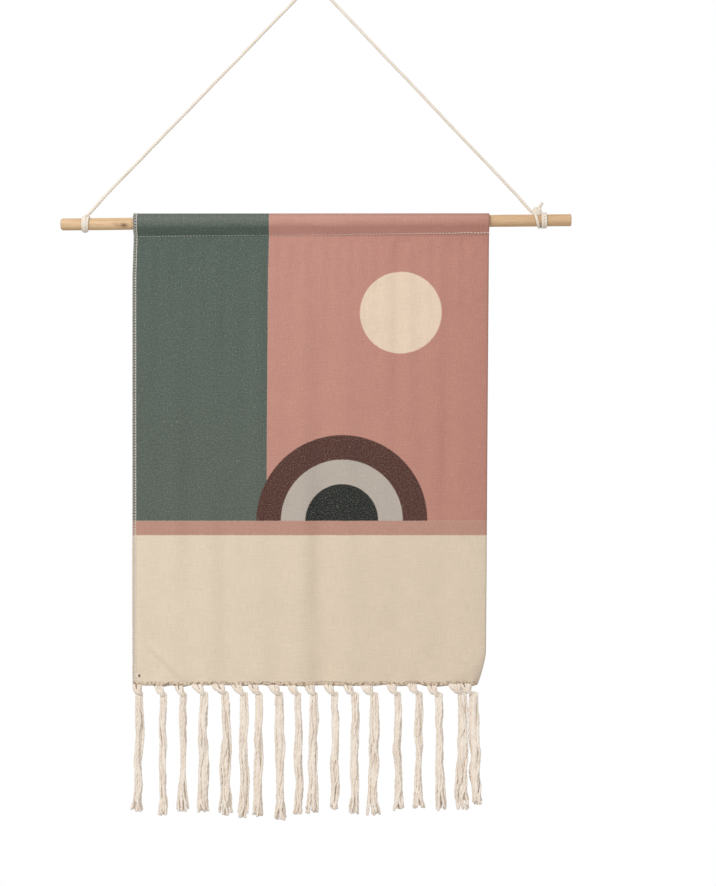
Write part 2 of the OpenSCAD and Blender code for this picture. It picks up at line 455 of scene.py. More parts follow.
def cord_piece(name, line, phase):
    made = Mesh()
    made.twisted(line, 3, CORD_D / 2 * 1.04, CORD_PITCH, 7, 0.3, phase)
    made.points = [pressed(p) for p in made.points]
    obj = made.build(name, rope_cotton)
    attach(obj, "cord")
    return obj


cord_left = cord_piece("cord_left_knot", left_line, 0.0)
cord_right = cord_piece("cord_right_knot", right_line, 1.0)
cord_middle = cord_piece("cord_rope", middle_line, 2.0)
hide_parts("left_cord_knot")
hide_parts("right_cord_knot")
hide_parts("hanging_cord")


# ---- Rod: a sanded stick with a little unevenness, one end rounded and one cut square ----


def wood_material():
    g = Graph("rod_wood")
    place = g.attribute("rod_at")
    x, y, z = g.parts(place)
    stretched = g.joined(x * 0.06, y, z)
    grain = g.noise(stretched, 900.0, 4.0, 0.6)
    streak = g.noise(g.joined(x * 0.03, y, z), 260.0, 3.0, 0.6)
    pores = g.noise(g.joined(x * 0.12, y, z), 2600.0, 2.0, 0.6)
    spots = g.noise(g.joined(x * 0.5, y, z), 120.0, 1.0)
    light, mid, dark = linear(226, 194, 156), linear(210, 176, 136), linear(150, 108, 66)
    colour = g.mix(g.ramp(streak, 0.35, 0.68), light, mid)
    colour = g.mix(g.ramp(x, -0.08, 0.24, 0.0, 0.22), colour, linear(176, 138, 98))
    # painted shade: the underside of the rod darker
    colour = g.mix(g.ramp(z, 0.001, -0.0055, 0.0, 0.2), colour, linear(168, 124, 84))
    colour = g.mix(g.ramp(grain, 0.5, 0.75, 0.0, 0.45), colour, dark)
    colour = g.mix(g.ramp(pores, 0.58, 0.72, 0.0, 0.4), colour, dark)
    colour = g.mix(g.ramp(spots, 0.68, 0.8, 0.0, 0.2), colour, dark)
    marks = Value(g, g.attribute("mark", "Fac"))
    colour = g.mix(marks, colour, linear(84, 54, 34))
    radius = g.math("SQRT", y * y + z * z)
    rings = g.math("SINE", radius * 9000.0 + g.noise(place, 400.0) * 5.0)
    end_grain = Value(g, g.attribute("end", "Fac"))
    colour = g.mix(end_grain * g.ramp(rings, -1.0, 1.0, 0.25, 0.6), colour, dark)
    g.bump(grain * 0.7 + pores * 0.5 + streak * 0.4, 0.3, 0.25 * MM)
    return g.finish(colour, g.ramp(grain, 0.3, 0.7, 0.52, 0.7))


# Distance along the rod from its middle, turn from its top towards the front, and size
KNOTS_IN_WOOD = ((-193.6, 112, 0.9), (-187.6, 110, 2.1), (205, 250, 1.2))


def build_rod():
    """The rod as rings of points along X, uneven by hundredths of a millimetre, its ends closed."""
    sides = 56
    source = random_source(5)
    round_end, square_end = 2.6 * MM, 0.7 * MM
    start = [(0.0, share * (ROD_R - round_end)) for share in (0.0, 0.4, 0.8)]
    for a in np.linspace(1.5, 0.15, 7):
        start.append((round_end * (1 - math.sin(a)), ROD_R - round_end * (1 - math.cos(a))))
    middle = [(s, ROD_R) for s in np.arange(round_end, ROD_LEN - square_end, 2.5 * MM)]
    stop = [(ROD_LEN - square_end, ROD_R), (ROD_LEN - square_end * 0.4, ROD_R - square_end * 0.25)]
    stop += [(ROD_LEN, share * (ROD_R - square_end)) for share in (1.0, 0.66, 0.33, 0.0)]
    s, r = np.array(start + middle + stop).T
    turn = np.arange(sides) / sides * 2 * math.pi
    waves = source.uniform(0, 2 * math.pi, 6)
    uneven = 0.05 * MM * (
        np.sin(s[:, None] * 40 + waves[0]) * np.cos(turn + waves[1])
        + np.sin(s[:, None] * 95 + waves[2]) * np.cos(2 * turn + waves[3])
        + 0.6 * np.sin(s[:, None] * 210 + waves[4]) * np.cos(3 * turn + waves[5])
    ) - 0.11 * MM
    radius = np.maximum(np.minimum(r[:, None] + uneven * (r[:, None] / ROD_R), ROD_R), 0.01 * MM)
    x = np.broadcast_to((s - ROD_LEN / 2)[:, None], radius.shape)
    points = np.stack([x, radius * np.cos(turn), radius * np.sin(turn)], -1).reshape(-1, 3)
    rings, count = len(s), len(points)
    faces = []
    for i in range(rings - 1):
        for k in range(sides):
            t = (k + 1) % sides
            faces.append([i * sides + k, (i + 1) * sides + k, (i + 1) * sides + t, i * sides + t])
    faces.append(list(range(sides)))
    faces.append(list(range(count - sides, count))[::-1])
    mesh = bpy.data.meshes.new("rod_stick")
    mesh.from_pydata(on_rod(points).tolist(), [], faces)
    point_data(mesh, "rod_at", points)
    ends = np.maximum(1 - s / (1.2 * MM), 1 - (ROD_LEN - s) / (0.5 * MM))
    point_data(mesh, "end", np.repeat(np.clip(ends, 0, 1), sides))
    # small dark knots in the wood
    marks = np.zeros(count)
    for at_x, degrees, size in KNOTS_IN_WOOD:
        a = math.radians(degrees)
        at = np.array([at_x * MM, -ROD_R * math.sin(a), ROD_R * math.cos(a)])
        away = (points - at) / (np.array([1.5, 1.0, 1.0]) * size * MM)
        marks = np.maximum(marks, np.exp(-(away**2).sum(1)))
    point_data(mesh, "mark", marks * 0.9)
    obj = smooth_object("rod_stick", mesh, wood_material())
    obj.modifiers.new("edges", "EDGE_SPLIT").split_angle = math.radians(50)
    return obj


rod = build_rod()
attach(rod, "rod")
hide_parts("rod")


# ---- Cloth: one sheet over the rod, its back ply and front ply sewn together under it ----

pocket_low, pocket_high = span("pocket")
panel_low, panel_high = span("panel")
CLOTH_T = panel_high[1] - panel_low[1]
CLOTH_LEFT = panel_low[0]
CLOTH_W = panel_high[0] - panel_low[0]
HEM_Z = panel_low[2]
CLOTH_TOP = pocket_high[2]
SEAM_Z = pocket_low[2]
PLY_R = (CLOTH_TOP - ROD_Z) - CLOTH_T / 2


def pocket_side(count):
    """The front ply's line in the YZ plane, from over the rod down to the seam."""
    drop = ROD_Z - SEAM_Z
    meet = CLOTH_T / 2
    reach = math.hypot(drop, meet)
    tangent = math.pi - math.acos(PLY_R / reach) - math.atan2(meet, drop)
    arc = [(-PLY_R * math.sin(a), ROD_Z + PLY_R * math.cos(a)) for a in np.linspace(0, tangent, count)]
    return arc + [(-meet, SEAM_Z)]


def resample(points, step):
    p = np.array(points)
    d = arc_of(p)
    even = np.linspace(0, d[-1], int(round(d[-1] / step)) + 1)
    return np.stack([np.interp(even, d, p[:, k]) for k in range(2)], 1), even


front_ply, front_arc = resample(pocket_side(40), 1.1 * MM)
POCKET_ARC = front_arc[-1]
STEP = 2.0 * MM
columns = np.linspace(0, CLOTH_W, int(round(CLOTH_W / STEP)) + 1)
panel_rows = np.linspace(SEAM_Z, HEM_Z, int(round((SEAM_Z - HEM_Z) / STEP)) + 1)[1:]


CLOTH_FRAMES = 40


def hanging_waves():
    """How far the panel stands out of its plane and moves sideways, on the coarse grid of a simulation."""
    across, down = 58, 73
    width, height = CLOTH_W, SEAM_Z - HEM_Z
    u, d = np.meshgrid(np.linspace(0, width, across + 1), np.linspace(0, height, down + 1))
    source = random_source(11)
    start = np.zeros((down + 1, across + 1, 3))
    start[..., 0] = u
    start[..., 2] = -d
    bumps = source.normal(0, 1, (9, 9))
    start[..., 1] = grid_at(bumps, u / width * 8, d / height * 8) * 1.6 * MM * np.minimum(1, d / 0.02)
    mesh = bpy.data.meshes.new("cloth_simulation")
    mesh.from_pydata(start.reshape(-1, 3).tolist(), [], grid_faces(down + 1, across + 1))
    obj = bpy.data.objects.new("cloth_simulation", mesh)
    scene.collection.objects.link(obj)
    group = obj.vertex_groups.new(name="seam")
    group.add(list(range(across + 1)), 1.0, "REPLACE")
    cloth = obj.modifiers.new("cloth", "CLOTH")
    settings = cloth.settings
    settings.quality = 7
    settings.mass = 0.35
    settings.tension_stiffness = 30
    settings.compression_stiffness = 25
    settings.shear_stiffness = 10
    settings.bending_stiffness = 1.2
    settings.tension_damping = 10
    settings.compression_damping = 10
    settings.air_damping = 2.5
    settings.vertex_group_mass = "seam"
    settings.shrink_min = -0.006
    cloth.collision_settings.use_collision = False
    cloth.point_cache.frame_start = 1
    cloth.point_cache.frame_end = CLOTH_FRAMES
    for f in range(1, CLOTH_FRAMES + 1):
        scene.frame_set(f)
    shaped = obj.evaluated_get(bpy.context.evaluated_depsgraph_get()).data
    moved = np.zeros(len(shaped.vertices) * 3, np.float32)
    shaped.vertices.foreach_get("co", moved)
    bpy.data.objects.remove(obj)
    scene.frame_set(1)
    return moved.reshape(start.shape).astype(float) - flat_grid(u, d)


def flat_grid(u, d):
    return np.stack([u, np.zeros_like(u), -d], -1)


def grid_at(grid, i, j):
    """Smooth reading of a grid between its points: i across, j down."""
    grid = np.asarray(grid, float)
    rows, cols = grid.shape[:2]
    i = np.clip(i, 0, cols - 1)
    j = np.clip(j, 0, rows - 1)
    i0 = np.minimum(i.astype(int), cols - 2)
    j0 = np.minimum(j.astype(int), rows - 2)
    fi, fj = i - i0, j - j0

    def row(r):
        r = np.clip(r, 0, rows - 1)
        taps = [grid[r, np.clip(i0 + k, 0, cols - 1)] for k in (-1, 0, 1, 2)]
        return cubic(taps, fi)

    return cubic([row(j0 + k) for k in (-1, 0, 1, 2)], fj)


def cubic(taps, t):
    a, b, c, d = taps
    t = t[..., None] if np.ndim(a) > np.ndim(t) else t
    return 0.5 * (2 * b + (c - a) * t + (2 * a - 5 * b + 4 * c - d) * t**2 + (3 * b - a - 3 * c + d) * t**3)


waves = hanging_waves()
waves[..., 1] = np.clip(waves[..., 1], -7 * MM, 7 * MM)


def soft_ridge(u, d, a, b, width):
    """1 along the line from a to b, fading over the width to either side and at both ends."""
    ax, ay = a
    dx, dy = b[0] - ax, b[1] - ay
    length = math.hypot(dx, dy)
    along = ((u - ax) * dx + (d - ay) * dy) / length
    off = ((u - ax) * dy - (d - ay) * dx) / length
    ends = np.clip(along / (0.4 * length), 0, 1) * np.clip((length - along) / (0.25 * length), 0, 1)
    return np.exp(-((off / width) ** 2)) * ends


def build_panel_grid():
    """The panel's points, row by row below the seam, and where each lies on the print."""
    u, z = np.meshgrid(columns, panel_rows)
    d = SEAM_Z - z
    height = SEAM_Z - HEM_Z
    move = grid_at(waves, u / CLOTH_W * (waves.shape[1] - 1), d / height * (waves.shape[0] - 1))
    settle = np.minimum(1, d / (6 * MM))
    share = d / height
    # the lower part hangs a little narrower, as in the photograph
    x = CLOTH_LEFT + u * (1 - 0.010 * share) + (move[..., 0] - move[..., 0].mean()) * share
    y = move[..., 1] * settle
    # small puckers under the seam, where the stitches draw the cloth in
    source = random_source(21)
    puckers = grid_at(source.normal(0, 1, (3, 60)), u / CLOTH_W * 59, d / (30 * MM) * 2)
    y += -0.55 * MM * puckers * np.exp(-((d / (14 * MM)) ** 2)) * settle
    # soft slanting folds towards the lower left corner
    y += -2.0 * MM * soft_ridge(u, d, (14 * MM, 398 * MM), (56 * MM, 438 * MM), 4.5 * MM)
    y += 1.0 * MM * soft_ridge(u, d, (6 * MM, 372 * MM), (40 * MM, 430 * MM), 7 * MM)
    y += -0.8 * MM * soft_ridge(u, d, (2 * MM, 330 * MM), (12 * MM, 436 * MM), 4 * MM)
    # the lower right corner curls back
    right, low = (CLOTH_W - u) / (30 * MM), (height - d) / (30 * MM)
    curl = np.clip(1 - (right + low * 0.9), 0, 1) ** 1.5
    x -= 8.0 * MM * curl
    y += 6.0 * MM * curl
    # both sides roll back a little
    y += 0.9 * MM * np.exp(-u / (5 * MM)) * settle + 1.1 * MM * np.exp(-(CLOTH_W - u) / (5 * MM)) * settle
    # the hem is held by the knots, so it ripples between them
    hold = np.exp(-((height - d) / (9 * MM)) ** 2)
    ripple = grid_at(random_source(23).normal(0, 1, (2, 37)), u / CLOTH_W * 36, 0 * u)
    y += 0.55 * MM * ripple * hold
    # the cloth has stretched near the hem, and its left side stands out under the seam
    z = z - 2.8 * MM * share**12
    x -= 1.3 * MM * (1 - u / CLOTH_W) * np.clip(d / (40 * MM), 0, 1)
    z = z + 0.5 * MM * ripple * np.exp(-((height - d) / (4 * MM)) ** 2)
    y = y * (1 - np.exp(-((d / (2.5 * MM)) ** 2))) - CLOTH_T / 2 * np.exp(-((d / (4 * MM)) ** 2))
    return np.stack([x, y, z], -1)


panel_grid = build_panel_grid()
rows = []
marks_v = []
back_ply = front_ply[::-1].copy()
back_ply[:, 0] *= -1
pocket_line = np.vstack([back_ply[:-1], front_ply])
pocket_v = np.concatenate([-front_arc[::-1][:-1], front_arc])
source = random_source(31)
sag_at = np.meshgrid(columns / CLOTH_W * 29, np.linspace(0, 3, len(pocket_line)))
sag = grid_at(source.normal(0, 1, (4, 30)), *sag_at)
for k, (y, z) in enumerate(pocket_line):
    out = np.array([y, z - ROD_Z])
    out = out / np.linalg.norm(out)
    loose = np.clip((ROD_Z + 2 * MM - z) / (6 * MM), 0, 1) * np.clip((z - SEAM_Z) / (5 * MM), 0, 1)
    puff = 0.35 * MM * sag[k] * loose
    # the rod pushes the pocket down on the left and up on the right
    down = (CLOTH_TOP - z) / (CLOTH_TOP - SEAM_Z)
    follow = (CLOTH_LEFT + columns - ROD_MIDDLE[0]) * math.sin(ROD_TILT) * 4 * down * (1 - down)
    rows.append(np.stack([CLOTH_LEFT + columns, y + out[0] * puff, z + out[1] * puff + follow], -1))
    marks_v.append(np.full(len(columns), pocket_v[k]))
for k, z in enumerate(panel_rows):
    rows.append(panel_grid[k])
    marks_v.append(np.full(len(columns), POCKET_ARC + SEAM_Z - z))
cloth_grid = np.array(rows)
cloth_v = np.array(marks_v)
v_line = cloth_v[:, 0]
# The print is measured straight down from a line just under the fold
PRINT_TOP = -224.6 * MM
PRINT_SHIFT = POCKET_ARC - (CLOTH_TOP - SEAM_Z) + CLOTH_TOP - PRINT_TOP


def normals_of(grid):
    return unit(np.cross(np.gradient(grid, axis=1), np.gradient(grid, axis=0)))


cloth_normal = normals_of(cloth_grid)
if cloth_normal[-5, 20, 1] > 0:
    cloth_normal = -cloth_normal


def on_cloth(u, v, lift=0.0):
    """Points on the cloth, lift in front of its middle surface.

    v is the length down the front from the top.
    """
    i = np.asarray(u) / CLOTH_W * (len(columns) - 1)
    j = np.interp(np.asarray(v), v_line, np.arange(len(v_line)))
    at = grid_at(cloth_grid, i, j)
    out = unit(grid_at(cloth_normal, i, j))
    beyond = np.minimum(i, 0) + np.maximum(i - (len(columns) - 1), 0)
    at[..., 0] += beyond * CLOTH_W / (len(columns) - 1)
    return at + out * np.asarray(lift)[..., None]


class Print:
    """Distances in millimetres on the print, for shapes drawn in its ink."""

    def __init__(self, graph, place):
        self.g, self.place = graph, place

    def box(self, u0, u1, v0, v1, r=0.5):
        centre = ((u0 + u1) / 2, (v0 + v1) / 2, 0)
        half = ((u1 - u0) / 2 - r, (v1 - v0) / 2 - r, 1000)
        q = self.g.vector("SUBTRACT", self.place, centre)
        q = self.g.vector("SUBTRACT", self.g.vector("ABSOLUTE", q), half)
        q = self.g.vector("MAXIMUM", q, (0, 0, 0))
        return self.g.vector("LENGTH", q, scalar=True) - r

    def ellipse(self, u, v, ru, rv):
        q = self.g.vector("DIVIDE", self.g.vector("SUBTRACT", self.place, (u, v, 0)), (ru, rv, 1000))
        length = self.g.vector("LENGTH", q, scalar=True)
        slope = self.g.vector("LENGTH", self.g.vector("DIVIDE", q, (ru, rv, 1000)), scalar=True)
        return (length - 1) * length / self.g.math("MAXIMUM", slope, 0.0001)

    def stroke(self, points, r):
        """Distance to a bent line of half-width r."""
        nearest = None
        for (u0, v0), (u1, v1) in zip(points, points[1:]):
            run = (u1 - u0, v1 - v0, 0)
            size = run[0] ** 2 + run[1] ** 2
            q = self.g.vector("SUBTRACT", self.place, (u0, v0, 0))
            t = self.g.vector("DOT_PRODUCT", q, tuple(c / size for c in run), scalar=True)
            foot = self.g.scaled(self.g.joined(*run), self.g.math("MULTIPLY", t, 1.0, clamp=True))
            away = self.g.vector("DISTANCE", q, foot, scalar=True)
            nearest = away if nearest is None else self.g.math("MINIMUM", nearest, away)
        return nearest - r

    def all_of(self, *distances):
        d = distances[0]
        for other in distances[1:]:
            d = self.g.math("MAXIMUM", d, other)
        return d


# Millimetres from one thread of the canvas to the next
THREAD_PITCH = 0.92


def woven(g, place):
    """Height of a plain weave with threads in both directions, and how the threads vary."""
    u, v, _ = g.parts(place)
    warp, weft = u * (1 / THREAD_PITCH), v * (1 / THREAD_PITCH)
    odd = g.math("MODULO", g.math("ADD", g.math("FLOOR", warp), g.math("FLOOR", weft)), 2.0)
    over = g.math("ABSOLUTE", g.math("SINE", warp * math.pi))
    under = g.math("ABSOLUTE", g.math("SINE", weft * math.pi))
    is_warp = g.math("ABSOLUTE", odd)
    height = over * is_warp + under * (1.0 - is_warp)
    warp_thread = g.noise(g.joined(u, v * 0.06, 0.0), 1.15, 1.0)
    weft_thread = g.noise(g.joined(u * 0.06, v, 7.0), 1.15, 1.0)
    return height, warp_thread, weft_thread


# The print's plain colour blocks, in millimetres right of its left edge and below its top
GREEN_SIDE = 132
FOOT_LINE = 300
FOOT_BAND = 14
# A disc's place and radius, and the middle and radii of the nested half-discs
DISC = (262, 96, 40)
ARCH_MIDDLE = 206
ARCH_RADII = (84, 60, 36)
# Blocks of colour run on past the cloth's edges
LEFT, RIGHT, ABOVE = -20, 380, -60


def printed_canvas():
    """Flat blocks of colour with a plain disc and nested half-discs."""
    g = Graph("printed_canvas")
    place = g.attribute("cloth_at")
    height, warp_thread, weft_thread = woven(g, place)
    # ink edges follow the threads
    jitter = g.vector("SUBTRACT", g.noise(place, 1.1, 1.0, colour=True), (0.5, 0.5, 0.5))
    ragged = g.vector("ADD", place, g.vector("MULTIPLY", jitter, (1.1, 1.1, 0.0)))
    u, v, _ = g.parts(ragged)
    ragged = g.joined(u + v * 0.004 - 0.7, v, 0.0)
    p = Print(g, ragged)
    foot_right, foot_left = linear(216, 198, 176), linear(223, 206, 184)
    colour = g.mix(g.ramp(u, 0.0, 250.0), foot_left, foot_right)
    green = g.mix(g.ramp(v, 20.0, 260.0), linear(78, 92, 85), linear(84, 94, 86))
    pink = g.mix(g.ramp(v, 20.0, 300.0), linear(189, 136, 123), linear(188, 135, 121))
    pink = g.mix(g.ramp(u, 180.0, 348.0, 0.0, 0.55), pink, linear(175, 120, 106))
    colour = g.mix(mask(g, p.box(LEFT, GREEN_SIDE, ABOVE, FOOT_LINE)), colour, green)
    colour = g.mix(mask(g, p.box(GREEN_SIDE, RIGHT, ABOVE, FOOT_LINE)), colour, pink)
    u0, v0, r = DISC
    colour = g.mix(mask(g, p.ellipse(u0, v0, r, r)), colour, linear(225, 202, 179))
    above_foot = p.box(LEFT, RIGHT, 100, FOOT_LINE)
    inks = (linear(80, 48, 41), linear(180, 169, 158), linear(28, 34, 32))
    for r, ink in zip(ARCH_RADII, inks):
        half_disc = p.all_of(p.ellipse(ARCH_MIDDLE, FOOT_LINE, r, r), above_foot)
        colour = g.mix(mask(g, half_disc), colour, ink)
    band = p.box(LEFT, RIGHT, FOOT_LINE, FOOT_LINE + FOOT_BAND)
    colour = g.mix(mask(g, band), colour, linear(182, 138, 122))
    # a mark where a thread was tied off, low beside the left edge
    tie = p.ellipse(5.6, 449.0, 2.1, 2.0)
    colour = g.mix(mask(g, tie, 1.2) * 0.8, colour, linear(238, 224, 208))
    colour = g.mix(mask(g, p.ellipse(7.6, 449.6, 1.2, 1.5), 0.8) * 0.9, colour, linear(84, 62, 50))
    # painted shade along a crease beside it
    crease_shade = p.stroke([(17, 424), (50, 453)], 0.8)
    colour = g.mix(mask(g, crease_shade, 6.0) * 0.3, colour, linear(192, 172, 146))
    # painted shade in irregular patches along the hem's edge
    hem = g.ramp(v, 454.2, 456.2) * g.ramp(g.noise(g.joined(u * 0.3, v * 0.5, 0.0), 1.0, 2.0), 0.47, 0.6)
    colour = g.mix(hem * 0.8, colour, linear(104, 76, 58))
    # painted highlight: lighter over the top of the fold over the rod
    colour = g.mix(g.ramp(v, 1.0, 10.0, 0.07, 0.0), colour, linear(222, 208, 192))
    # ink sinks between the threads, and undyed fibres show through it
    specks = g.noise(place, 0.72, 3.0, 0.85)
    colour = g.mix(g.ramp(specks, 0.5, 0.62, 0.0, 0.13), colour, linear(226, 214, 198))
    bright = g.noise(g.vector("MULTIPLY", place, (1.0, 0.55, 1.0)), 0.9, 0.0)
    colour = g.mix(g.ramp(bright, 0.8, 0.86, 0.0, 0.3), colour, linear(235, 228, 216))
    tone = warp_thread * 0.34 + weft_thread * 0.34 + g.noise(place, 0.03, 3.0) * 0.16
    # painted shade: darker in the hollows of the weave
    tone = g.ramp(tone, 0.3, 0.54, 0.94, 1.06) * g.ramp(height, 0.0, 0.5, 0.88, 1.02)
    tone = tone * g.ramp(g.noise(place, 0.9, 3.0, 0.85), 0.3, 0.7, 0.89, 1.11)
    g.bump(height + warp_thread * 0.8 + weft_thread * 0.8, 0.35, 0.22 * MM)
    return g.finish(g.darken(colour, tone), 0.92, 0.03)


def mask(g, distance, edge=0.7):
    """1 inside a shape and 0 outside, over a soft edge."""
    return g.math("MULTIPLY_ADD", distance, -1 / edge, 0.5, clamp=True)


def plain_canvas():
    """The unprinted side, where the print shows through a little."""
    g = Graph("canvas_back")
    place = g.attribute("cloth_at")
    height, warp_thread, weft_thread = woven(g, place)
    p = Print(g, place)
    green_side = mask(g, p.box(LEFT, GREEN_SIDE, ABOVE, FOOT_LINE), 8.0)
    pink_side = mask(g, p.box(GREEN_SIDE, RIGHT, ABOVE, FOOT_LINE), 4.0)
    colour = g.mix(green_side * 0.16, linear(222, 211, 193), linear(94, 107, 99))
    colour = g.mix(pink_side * 0.2, colour, linear(190, 140, 126))
    tone = g.ramp(warp_thread * 0.5 + weft_thread * 0.5, 0.3, 0.7, 0.92, 1.06)
    # painted shade: darker in the hollows of the weave
    tone = tone * g.ramp(height, 0.0, 0.5, 0.86, 1.02)
    g.bump(height + warp_thread * 0.8 + weft_thread * 0.8, 0.35, 0.22 * MM)
    return g.finish(g.darken(colour, tone), 0.93, 0.1)


def build_cloth():
    n_rows, n_cols = cloth_grid.shape[:2]
    mesh = bpy.data.meshes.new("cloth")
    mesh.from_pydata(cloth_grid.reshape(-1, 3).tolist(), [], grid_faces(n_rows, n_cols))
    u = np.broadcast_to(columns, (n_rows, n_cols))
    v = cloth_v - np.where(cloth_v > 0, np.minimum(PRINT_SHIFT, cloth_v), 0)
    point_data(mesh, "cloth_at", np.stack([u / MM, v / MM, 0 * u], -1))
    obj = smooth_object("cloth", mesh, printed_canvas(), plain_canvas())
    solid = obj.modifiers.new("thickness", "SOLIDIFY")
    solid.thickness = CLOTH_T
    solid.offset = 0
    solid.use_rim = True
    solid.material_offset = 1
    solid.material_offset_rim = 1
    return obj


cloth = build_cloth()
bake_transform(cloth)
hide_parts("pocket", "panel")


# ---- Stitching ----


def stitch(made, u0, v0, u1, v1, thick, lift, shade):
    """One stitch lying on the cloth, its ends sunk into it."""
    t = np.linspace(0, 1, 6)
    high = lift * np.sin(t * math.pi) ** 0.5 - thick * 0.9 * (1 - np.sin(t * math.pi))
    line = on_cloth(u0 + (u1 - u0) * t, v0 + (v1 - v0) * t, CLOTH_T / 2 + high)
    made.tube(line, thick / 2, 6, shade)


def pocket_stitches():
    """The seam under the rod: sunk and faint with painted shade on the left, tight and bright on the right.
    """
    made = Mesh()
    source = random_source(41)
    u = 5.0 * MM
    while u < CLOTH_W - 1 * MM:
        run = min(source.uniform(2.7, 3.4) * MM, CLOTH_W - u)
        share = u / CLOTH_W
        v = POCKET_ARC + (0.9 - 4.0 * share) * MM + source.normal(0, 0.12) * MM
        thick = (0.4 + 0.45 * share**3) * MM
        lift = (0.08 + 0.35 * share**2) * MM
        # painted shade: the thread darker towards the left, where the stitches sink into the cloth, with a
        # little random tone
        shade = 2.4 * (1 - share**2) + source.uniform(0, 0.5)
        stitch(made, u, v, u + run * 0.8, v + source.normal(0, 0.1) * MM, thick, lift, shade)
        stitch(made, u + run * 0.1, v, u + run * 0.9, v, 0.55 * MM, -0.7 * CLOTH_T - CLOTH_T, 0.5)
        u += run
    return made.build("pocket_stitches", thread_white)


def hem_stitches():
    made = Mesh()
    source = random_source(43)
    u = 5.0 * MM
    bottom = v_line[-1]
    while u < CLOTH_W - 3 * MM:
        run = source.uniform(3.0, 5.0) * MM
        v = bottom - (1.7 + source.normal(0, 0.2)) * MM
        end_v = v + source.normal(0, 0.25) * MM
        stitch(made, u, v, u + run * 0.75, end_v, 0.6 * MM, 0.28 * MM, source.uniform(0, 1))
        u += run
    return made.build("hem_stitches", thread_hem)


def overlock():
    """Loops of thread over the left edge, front and back, with a line of needle stitches beside them."""
    made = Mesh()
    source = random_source(47)
    bottom = v_line[-1] - 1.5 * MM
    pitch = 2.7 * MM
    top_v = v_line[0] + 1.5 * MM
    count = int((bottom - top_v) / pitch)
    edge, inner = -0.25 * MM, 3.3 * MM
    front_u, front_v, front_lift = [], [], []
    for k in range(count):
        v = top_v + k * pitch
        drift = source.normal(0, 0.1) * MM
        for share, place, lift in (
            (0.0, inner, 0.2), (0.2, (inner + edge) / 2, 0.32), (0.42, edge, 0.1),
            (0.5, edge - 0.15 * MM, -0.4), (0.58, edge, 0.1), (0.8, (inner + edge) / 2, 0.32),
        ):  # fmt: skip
            front_u.append(place + drift)
            front_v.append(v + share * pitch)
            front_lift.append(CLOTH_T / 2 + lift * MM if lift > 0 else 0.0)
    front = on_cloth(np.array(front_u), np.array(front_v), np.array(front_lift))
    made.tube(smooth_line(front, 0.6 * MM), 0.2 * MM, 5, 0.9)
    back_lift = -np.array(front_lift)
    back = on_cloth(np.array(front_u), np.array(front_v), back_lift)
    made.tube(smooth_line(back, 0.6 * MM), 0.22 * MM, 5, 0.4)
    for k in range(count):
        v = top_v + (k - 0.42) * pitch
        if k:
            stitch(made, inner, v, inner, v + pitch * 0.98, 0.8 * MM, 0.45 * MM, source.uniform(0, 0.2))
    return made.build("overlock", thread_white)


pocket_thread = pocket_stitches()
hem_thread = hem_stitches()
edge_thread = overlock()
for piece in (pocket_thread, edge_thread):
    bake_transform(piece)
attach(hem_thread, "panel")
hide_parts("pocket_stitching")
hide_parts("hem_stitching")
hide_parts("pocket_overlock", "panel_overlock")


# ---- Tassels: a knot of yarn under the hem, and the yarn hanging from it ----

TASSEL_COUNT = sum(name.startswith("tassel_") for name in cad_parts)
YARNS = 12
# For each bunch: how far it leans from the hem down to its neck, in millimetres, how full it is,
# and how far its end drifts sideways, in millimetres
LEAN = [0.5, 3.5, 3.5, 6.0, 6.5, 6.0, 4.5, 4.5, 4.0, 2.5, 4.0, 4.0, 4.0, 3.0, 4.5, 3.5, 4.5, 4.0]
FULL = [0.95, 0.86, 0.86, 1.12, 1.25, 0.98, 1.0, 1.1, 0.9, 1.0, 0.95, 0.95, 1.15, 1.0, 0.95, 1.0, 1.28, 1.26]
DRIFT = [-1.5, 0, -1.0, -0.5, 0.5, 0.5, -1.5, 0, 1.0, -1.5, -1.0, -0.5, -0.5, 0.5, 0, 1.0, -1.0, 1.5]


def wobble(source, s, size):
    """A smooth random wander along a line, starting at 0."""
    total = np.zeros_like(s)
    for k in range(2):
        total += np.sin(s * source.uniform(2.0, 4.5) * (k + 1) + source.uniform(0, 6.28)) / (k + 1)
    return size * (total - total[0]) * np.minimum(1, s * 3)


